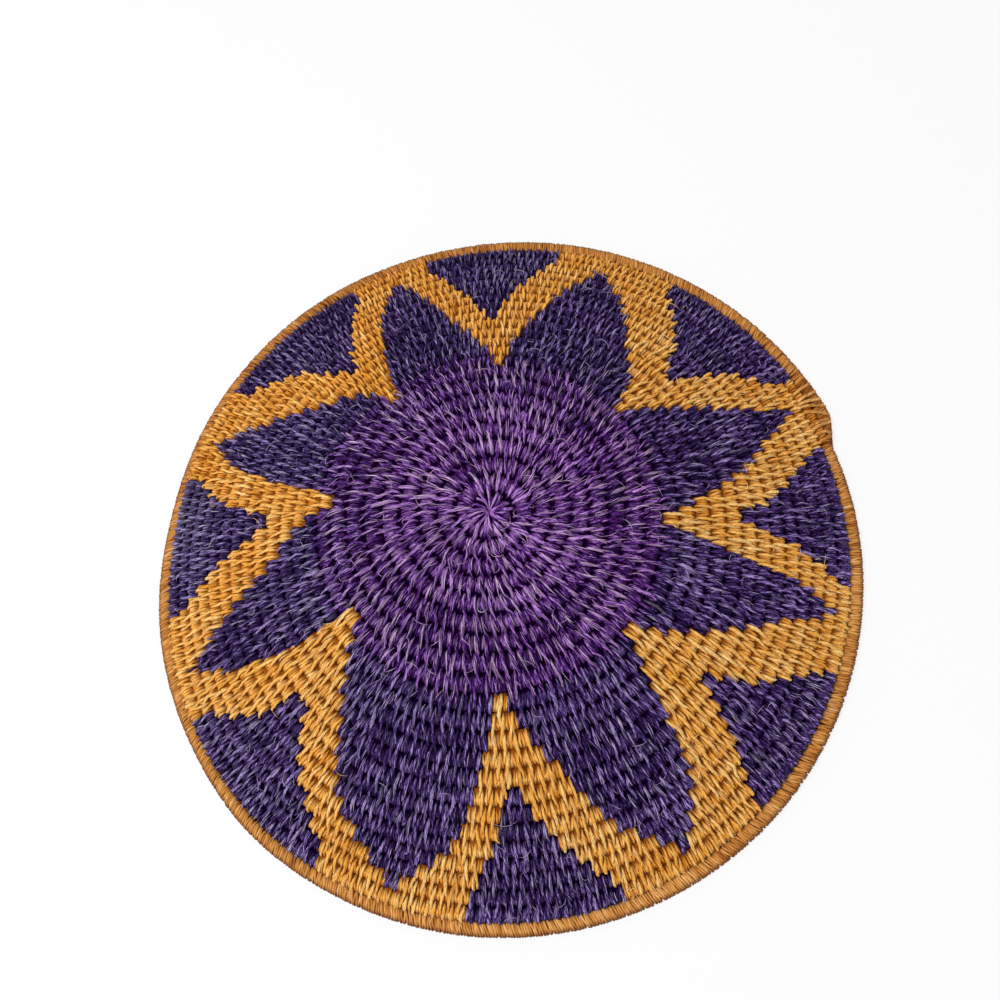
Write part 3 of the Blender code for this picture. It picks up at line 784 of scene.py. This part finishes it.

# %% [markdown]
# ## The dye
# Sisal takes dye unevenly. Along a thread the colour drifts, some lengths stay pale, and single fibres
# stay almost white. Each strand therefore carries a few numbers of its own for the finish to read: how
# bright it is, how pale it is, how much painted shade it gets low in the groove, and how far its hue is
# turned. Its brightness also holds painted shade on the far side and under the lashing, and painted
# light on the left side.

# %% Numbers that each strand carries
DYE_LOTS = ((0.5, 0.18), (1.6, 0.20), (2.5, 0.03), (3.5, 0.09), (4.5, 0.11), (5.5, 0.03), (6.5, -0.04),
            (7.5, -0.05), (8.5, 0.03), (9.5, -0.04), (10.5, 0.0))      # turns, and how much brighter they are
LASHED_FROM, LASHED_TO = 17.0, 29.5      # azimuths where the thread under the lashing gets a painted shadow
FAR_PAINTED_SHADE, GOLD_DIMMED, RIM_DIMMED, LASH_PAINTED_SHADOW, LEFT_PAINTED_LIGHT = 0.10, 0.15, 0.07, 0.32, 0.10
PALENESS = 0.6


def dye_and_shade_of(turn, names, seed, groove_shade, level, plies=1):
    """For each corner of each strand: how bright, with painted light and shade by side, how pale, how much
    painted groove shade, how turned in hue.
    """
    chance = default_rng(seed)
    count, azimuth, on_rim = len(turn), azimuth_of(turn), turn > WALL_END
    degrees = np.degrees(azimuth) % 360
    gold = np.array([name.startswith(("gold", "rim")) for name in names])
    violet = np.array([name.startswith(("base", "centre")) for name in names])
    # painted shade on the far side of the violet and indigo thread: darker, with fainter pale streaks
    far = (0.5 + 0.5 * facing(azimuth, 105.0)) * smooth((turn - 6.5) / 4) * ~gold
    # painted light on the left side, from about row 17 out: brighter and paler thread
    left_lit = hump(azimuth, 176.0, 11.0) * smooth((turn - 17) / 4) * ~gold
    # a painted shadow on the gold under the lashing
    lashed = gold & (turn > WALL_END - 0.05) & (degrees > LASHED_FROM) & (degrees < LASHED_TO)
    bright = level + np.interp(turn, *np.array(DYE_LOTS).T) - FAR_PAINTED_SHADE * far + LEFT_PAINTED_LIGHT * left_lit
    bright = bright - GOLD_DIMMED * gold * np.clip(facing(azimuth, 130.0), 0, 1) - LASH_PAINTED_SHADOW * lashed
    bright = bright - RIM_DIMMED * on_rim * np.clip(facing(azimuth, 75.0), 0, 1)
    bright = bright + 0.06 * drift(turn, 0.11, 41) + 0.08 * drift(turn, 0.013, 42)
    bright = bright + chance.normal(0, 0.10, count)
    pale = np.clip(1.4 * drift(turn, 0.021, 43) - 0.9, 0, 1) * chance.uniform(0.2, 1.0, count)
    pale = pale + (chance.random(count) > 0.88) * chance.uniform(0.2, 0.8, count)
    pale = np.clip(pale * PALENESS * (1 - 0.6 * far) + 0.35 * left_lit, 0, 1)
    hue = np.where(violet, (0.5 + 0.5 * facing(azimuth, 165.0)) * smooth((turn - 4.5) / 4),
                   0.5 + 0.5 * facing(azimuth, -20.0))
    even = np.tile(np.stack((bright, pale, np.zeros(count), hue), axis=-1), (plies, 1))
    even[:, 0] = np.clip(even[:, 0] + chance.normal(0, 0.05, len(even)), 0, 1)
    dye = np.repeat(even[:, None], groove_shade.shape[1], axis=1)
    dye[..., 2] = groove_shade
    return dye


# %% Strands gathered into one piece


def gather(name, parts):
    """One object from parts: (plain mesh, corner positions, dye, thread size for the fibres, material)."""
    shape = bmesh.new()
    places, dyes_and_shades, offsets, finishes = [], [], [], []
    for mesh, points, dye, stretch, finish in parts:
        for copy in range(len(points)):
            shape.from_mesh(mesh)
        places.append(points.reshape(-1, 3))
        dyes_and_shades.append(dye.reshape(-1, 4))
        offsets.append((len(points), len(mesh.loops), stretch))
        finishes.append(np.full(len(points) * len(mesh.polygons), finish))
    mesh = mesh_of(shape, name)[0]
    mesh.vertices.foreach_set("co", np.concatenate(places).ravel())
    mesh.polygons.foreach_set("material_index", np.concatenate(finishes))
    dye = mesh.attributes.new("dye", "FLOAT_COLOR", "POINT")
    dye.data.foreach_set("color", np.concatenate(dyes_and_shades).ravel())
    layer = mesh.uv_layers["fibre"]
    fibre = np.empty(len(mesh.loops) * 2)
    layer.data.foreach_get("uv", fibre)
    fibre = fibre.reshape(-1, 2)
    first, chance = 0, default_rng(len(name) + len(parts))
    for copies, loops, stretch in offsets:
        last = first + copies * loops
        jump = np.repeat(chance.uniform(0, 300, (copies, 2)), loops, axis=0)
        fibre[first:last] = fibre[first:last] * stretch + jump
        first = last
    layer.data.foreach_set("uv", fibre.ravel())
    mesh.shade_smooth()
    mesh.update()
    return add_object(name, mesh)


# %% [markdown]
# ## The finish of the thread
# Close up, a strand is two or three bundles of fine fibre, with lighter and darker lines that run along
# it and a silky gleam. Noise that is stretched along the strand gives the lines, and the same noise
# raises and sinks the surface a little. The strand's own numbers shift it lighter or paler, and mix in
# painted shade where it lies low in the groove.

# %% A dyed thread
TONE_PLACES = (0.05, 0.35, 0.60, 0.95)


def thread_finish(name, tones, cast, pale, paleness, groove_shade_colour, contrast, roughness):
    """tones run from dark to bright, cast multiplies a turned hue, and the colour for the groove is painted
    shade, mixed in where a strand lies low.
    """
    finish = Finish(bpy.data.materials.new(name))
    uv = finish.node("UVMap", {"uv_map": "fibre"})
    colour = finish.node("Attribute", {"attribute_name": "dye"})
    bright = finish.node("SeparateColor", {}, {0: colour})
    paler, groove_shade, hue = finish.also(bright, 1), finish.also(bright, 2), finish.also(colour, "Alpha")
    lines = finish.noise(finish.stretched(uv, (1.5, 0.18, 1.0)), 1.0, 2.0, 0.6)
    fibres = finish.noise(finish.stretched(uv, (4.6, 0.30, 1.0)), 1.0, 3.0, 0.65)
    tone = bright * 0.95 + 0.025 + (lines - 0.5) * (1.9 * contrast) + (fibres - 0.5) * (1.9 * contrast)
    stops = [(place, linear(*value)) for place, value in zip(TONE_PLACES, tones)]
    dyed_and_shaded = finish.node("ValToRGB", {"stops": stops}, {0: tone.clamped()})
    dyed_and_shaded = finish.mixed(hue * 0.8, dyed_and_shaded, finish.mixed(1.0, dyed_and_shaded, cast, "MULTIPLY"))
    bare = ((fibres - 0.60) * 9.0).clamped() * (0.22 + paler * 0.9) + paler * paler * 0.75
    dyed_and_shaded = finish.mixed((bare * paleness).clamped(), dyed_and_shaded, linear(*pale))
    # painted shade: the groove colour, mixed in as far as the strand lies low in the groove
    dyed_and_shaded = finish.mixed(groove_shade.power(1.4) * 0.94, dyed_and_shaded, linear(*groove_shade_colour))
    bump = finish.node("Bump", {}, {
        "Strength": 0.9, "Distance": 0.0003, "Height": lines * 0.5 + fibres * 0.5})
    surface = finish.node("BsdfPrincipled", {}, {
        "Base Color": dyed_and_shaded, "Roughness": (roughness + (fibres - 0.5) * 0.3).clamped(), "Normal": bump,
        "Specular IOR Level": 0.12})
    finish.node("OutputMaterial", {}, {0: surface})
    return finish.owner


def bundle_shade_finish(name, dark, darker):
    """The carried thread and grass under the wraps, in painted shade: a dark colour for the shade there,
    rough, with almost no gleam.
    """
    finish = Finish(bpy.data.materials.new(name))
    stems = finish.noise(finish.node("TexCoord", output="Object"), 900.0, 2.0)
    surface = finish.node("BsdfPrincipled", {}, {
        "Base Color": finish.mixed(stems, linear(*darker), linear(*dark)), "Roughness": 0.95,
        "Specular IOR Level": 0.0})
    finish.node("OutputMaterial", {}, {0: surface})
    return finish.owner


# the last colour of each thread is the painted shade for its groove
base_finish = thread_finish(
    "violet_thread", ((26, 2, 46), (62, 12, 96), (102, 38, 142), (196, 144, 220)),
    (1.0, 1.3, 1.06, 1.0), (244, 214, 232), 0.95, (30, 2, 48), 1.3, 0.6)
wall_finish = thread_finish(
    "indigo_thread", ((18, 4, 42), (42, 17, 76), (78, 51, 120), (176, 156, 212)),
    (1.06, 0.88, 1.06, 1.0), (222, 214, 234), 0.85, (18, 2, 40), 1.15, 0.6)
star_finish = thread_finish(
    "gold_thread", ((172, 96, 14), (226, 148, 46), (250, 184, 82), (255, 220, 146)),
    (1.0, 0.97, 0.94, 1.0), (255, 230, 180), 0.20, (144, 72, 8), 0.55, 0.55)
rim_finish = thread_finish(
    "rim_thread", ((140, 78, 20), (196, 128, 56), (222, 156, 78), (250, 202, 136)),
    (1.0, 0.97, 0.94, 1.0), (255, 230, 180), 0.15, (122, 62, 12), 0.75, 0.6)
# the bundle's colours are painted shade: dark tones of the thread around it
base_bundle_shade = bundle_shade_finish("violet_bundle_shade", (38, 6, 56), (20, 0, 34))
wall_bundle_shade = bundle_shade_finish("indigo_bundle_shade", (26, 6, 48), (14, 0, 30))
gold_bundle_shade = bundle_shade_finish("brown_bundle_shade", (176, 102, 32), (126, 64, 14))
print("finishes:", bpy.data.materials.keys())

# %% [markdown]
# ## Base, wall and rim, piece by piece
# The strands are shared out by the chart. Each imported node is replaced by one piece of thread work that
# holds its wraps, its stitches and the tube under them. The base has so many stitches that they are two
# pieces of their own.

# %% Dye, painted light and painted shade for every strand
# stitches are set lighter than the wraps of their thread: partly painted light on the raised stitches, partly
# their wear
WRAP_LEVELS = {"base": 0.43, "indigo": 0.43, "gold": 0.60}
STITCH_LEVELS = {"base": 0.49, "indigo": 0.55, "gold": 0.68}
RIM_LEVEL, HAIR_LEVEL, STREAK_LEVEL, SPOKE_LEVEL, LASH_LEVEL = 0.5, 0.9, 0.8, 0.62, 0.72
wrap_names, hair_names, streak_names = (piece_at(turns) for turns in (wrap_turns, hair_turns, streak_turns))
wrap_level = np.array([WRAP_LEVELS[name.split("_")[0]] for name in wrap_names])
stitch_level = np.array([STITCH_LEVELS[colour] for colour in own_colour])
wrap_dyes_and_shades = dye_and_shade_of(wrap_turns, wrap_names, 51, wrap_groove_shade, wrap_level)
stitch_dyes_and_shades = dye_and_shade_of(stitch_turns, own_piece, 52, stitch_groove_shade, stitch_level, PLIES)
rim_dyes_and_shades = dye_and_shade_of(rim_wrap_turns, ["rim_coil"] * len(rim_wrap_turns), 53, rim_groove_shade, RIM_LEVEL)
hair_dyes_and_shades = dye_and_shade_of(hair_turns, hair_names, 54, np.zeros(hair_points.shape[:2]), HAIR_LEVEL)
streak_dyes_and_shades = dye_and_shade_of(streak_turns, streak_names, 55, np.zeros(streak_points.shape[:2]), STREAK_LEVEL)
for fibre_dyes_and_shades in (hair_dyes_and_shades, streak_dyes_and_shades):
    fibre_dyes_and_shades[..., 1] = np.clip(fibre_dyes_and_shades[..., 1] + 0.8, 0, 1)
print("strands dyed:", len(wrap_dyes_and_shades) + len(stitch_dyes_and_shades) // PLIES + len(rim_dyes_and_shades))

# %% Thread pieces
WRAP_FIBRES, STITCH_FIBRES, FIBRE_FIBRES = (3.0, 20.0), (1.6, 24.0), (0.4, 5.0)
OUTER_STITCHES_FROM = 6.8
FINISH_OF = {"base": ("base_thread", base_finish, base_bundle_shade), "rim": ("rim_thread", rim_finish, gold_bundle_shade),
             "gold": ("star_thread", star_finish, gold_bundle_shade),
             "indigo": ("wall_thread", wall_finish, wall_bundle_shade)}
FINISH_OF["centre"] = FINISH_OF["base"]
in_whorl = np.tile(stitch_turns < WHORL_END_TURN, PLIES)
outer = np.tile(stitch_turns > OUTER_STITCHES_FROM, PLIES)
stitch_names = np.tile(own_piece, PLIES)
stitch_names[in_whorl] = "centre_whorl"
sizes = {}


def finish_piece(name, node, parts):
    piece = gather(name, parts)
    slot, outside, under = FINISH_OF[node.split("_")[0]]
    piece.data.materials.append(outside)
    # the second material is the bundle's painted shade
    piece.data.materials.append(under)
    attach(piece, "root")
    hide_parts(node)
    sizes[name] = sum(face.loop_total - 2 for face in piece.data.polygons)


for node in sorted(set(tube_names)):
    parts = [lay_tube(start, end) for name, start, end in runs if name == node]
    stitched = (stitch_names == node) & (node != "base_coil")
    for ring, points, dyes_and_shades, here, stretch in (
            (wrap_ring, wrap_points, wrap_dyes_and_shades, wrap_names == node, WRAP_FIBRES),
            (stitch_ring, stitch_points, stitch_dyes_and_shades, stitched, STITCH_FIBRES),
            (fibre_tube, hair_points, hair_dyes_and_shades, hair_names == node, FIBRE_FIBRES),
            (fibre_tube, streak_points, streak_dyes_and_shades, streak_names == node, FIBRE_FIBRES)):
        if here.any():
            parts.append((ring, points[here], dyes_and_shades[here], stretch, 0))
    if node == "rim_coil":
        parts.append(lay_tube(TURNS - 0.0004, TAIL_START + TAIL_LENGTH))
        parts.append((wrap_ring, rim_wrap_points, rim_dyes_and_shades, (3.0, 18.0), 0))
    finish_piece(node + "_thread", node, parts)
for name, chosen in (("base_coil_stitches_inner", ~outer), ("base_coil_stitches_outer", outer)):
    here = (stitch_names == "base_coil") & chosen
    finish_piece(name, "base_coil", [(stitch_ring, stitch_points[here], stitch_dyes_and_shades[here], STITCH_FIBRES, 0)])
print("triangles:", sum(sizes.values()), "of them in the heaviest piece:", max(sizes.values()))

# %% [markdown]
# ## The whorl at the crown
# The first turn is too tight for ordinary stitches. The weaver ties it with strands that all start from
# the crown, and lie over it like spokes. The first ordinary stitches follow close round them, and the
# eye takes both for one whorl. The knot that starts the coil fills the middle: a ball, pressed flat, in
# the bundle's dark painted shade.

# %% The knot, and spokes over the first turn
KNOT_SIZE = (0.0072, 0.0072, 0.0026)
knot_shape = bmesh.new()
bmesh.ops.create_icosphere(knot_shape, subdivisions=2, radius=1.0)
knot_shape.loops.layers.uv.new("fibre")
knot, knot_places = mesh_of(knot_shape, "knot")
knot_points = wall_points(0.0, 0.0, 0.0) + knot_places.T * KNOT_SIZE
SPOKES = 18
SPOKE_TOP = ((0.3, 1.6), (0.7, 2.9), (1.6, 3.6), (2.9, 3.95), (4.4, 4.05), (5.9, 4.0), (7.2, 3.8), (8.3, 3.2),
             (8.9, 2.2))      # millimetres from the crown, and off the wall


def lay_spokes(seed):
    chance = default_rng(seed)
    turn = 1.0 + (np.arange(SPOKES) + chance.normal(0, 0.15, SPOKES)) / SPOKES
    away, lift = there_and_back(np.array(SPOKE_TOP)).T * 0.001
    away = away * chance.uniform(0.75, 1.15, (SPOKES, 1))
    lift = lift + chance.normal(0, 0.00015, (SPOKES, 1))
    swirl = -0.0030 * np.sqrt(away / 0.009) + chance.normal(0, 0.0006, (SPOKES, 1)) * np.sin(away * 700)
    width = np.interp(away, (0.0, 0.002, 0.006, 0.02), (0.00026, 0.00046, 0.00080, 0.00062))
    return turn, lay_plies(turn, swirl, away - PITCH * turn[:, None], lift, width, chance)


spoke_turns, (spoke_points, spoke_groove_shade) = lay_spokes(61)
spoke_dyes_and_shades = dye_and_shade_of(spoke_turns, ["centre_whorl"] * SPOKES, 62, 0 * spoke_groove_shade, SPOKE_LEVEL, PLIES)
finish_piece("centre_whorl_thread", "centre_whorl", [
    (stitch_ring, spoke_points, spoke_dyes_and_shades, (1.6, 18.0), 0),
    (stitch_ring, stitch_points[in_whorl], stitch_dyes_and_shades[in_whorl], STITCH_FIBRES, 0),
    undyed(knot, knot_points)])
print("spokes:", SPOKES, "and first stitches:", int(in_whorl.sum()) // PLIES)

# %% [markdown]
# ## The lashing
# Where the rim coil ends, nine long strands bind its tail to the last row of the wall. They fan out at
# different slants over the wraps below.

# %% Long strands over the rim's end
LASH_AT = np.array((18.5, 19.6, 21.0, 21.6, 23.3, 24.6, 25.6, 26.6, 28.1))      # azimuths
LASH_LEANS = np.array((0.7, 0.0, 0.5, 0.4, -0.9, -0.6, -0.1, 0.5, 0.7))      # degrees round the bowl
LASH_HALF_WIDTH, LASHES = 0.00084, len(LASH_AT)
OVER_WALL = ((-4.3, 1.4), (-4.0, 2.6), (-2.9, 3.9), (-1.0, 4.3), (1.4, 4.3))
ROUND_RIM = ((-1.0, 4.2), (0.6, 3.8), (1.7, 2.9), (2.3, 1.6), (2.5, 0.2), (2.3, -1.0), (1.7, -1.8),
             (0.6, -2.0), (-0.8, -2.0), (-2.3, -1.4))
UNDER_WALL = ((1.6, -3.5), (-1.0, -4.0), (-2.9, -3.8), (-4.0, -2.6), (-4.3, -1.0), (-4.4, 0.2))


def beside_wall(turn, outline, middle):
    """An outline in millimetres beside the last row, measured outward and upward from the rim's middle."""
    across, off = np.array(outline).T * 0.001
    places = wall_points(PITCH * (turn - 1) + across, azimuth_of(turn), off)
    out = np.hypot(*(places[:, :2] + MIDDLE).T) - math.hypot(*(middle[:2] + MIDDLE))
    return np.stack((out, places[:, 2] - middle[2]), axis=1)


def lay_lashes(seed):
    chance = default_rng(seed)
    turns = TURNS - (LASH_AT - END_AZIMUTH) / 360.0
    paths = []
    for turn in turns:
        middle = rim_points(turn, 0.0, 0.0)
        rim_share = 1 - 0.45 * tail_share(turn)
        round_rim = np.array([(across * rim_share, off * (rim_share if off > 0 else 1))
                              for across, off in ROUND_RIM]) * 0.001
        over, under = beside_wall(turn, OVER_WALL, middle), beside_wall(turn, UNDER_WALL, middle)
        profile = np.concatenate((over, round_rim, under, over[:1]))
        along = np.concatenate(([0.0], np.cumsum(np.hypot(*np.diff(profile, axis=0).T))))
        places = along[-1] * np.arange(STITCH_STEPS) / STITCH_STEPS
        paths.append([np.interp(places, along, values) for values in profile.T])
    shift, lift = np.array(paths).transpose(1, 0, 2)
    share = (shift - shift.min(axis=1, keepdims=True)) / np.ptp(shift, axis=1)[:, None]
    slide = -np.radians(LASH_LEANS)[:, None] * 0.150 * (2 * share - 1)
    width = np.full(shift.shape, LASH_HALF_WIDTH)
    return turns, lay_plies(turns, slide, shift, lift, width, chance, on_rim=True)


lash_turns, (lash_points, lash_groove_shade) = lay_lashes(71)
lash_dyes_and_shades = dye_and_shade_of(lash_turns, ["lashing"] * LASHES, 72, 0 * lash_groove_shade, LASH_LEVEL, PLIES)
finish_piece("rim_end_lashing_thread", "rim_end_lashing", [
    (stitch_ring, lash_points, lash_dyes_and_shades, (1.6, 40.0), 0)])
print("lashes:", LASHES, "lowest point", lash_points[..., 2].min().round(5))
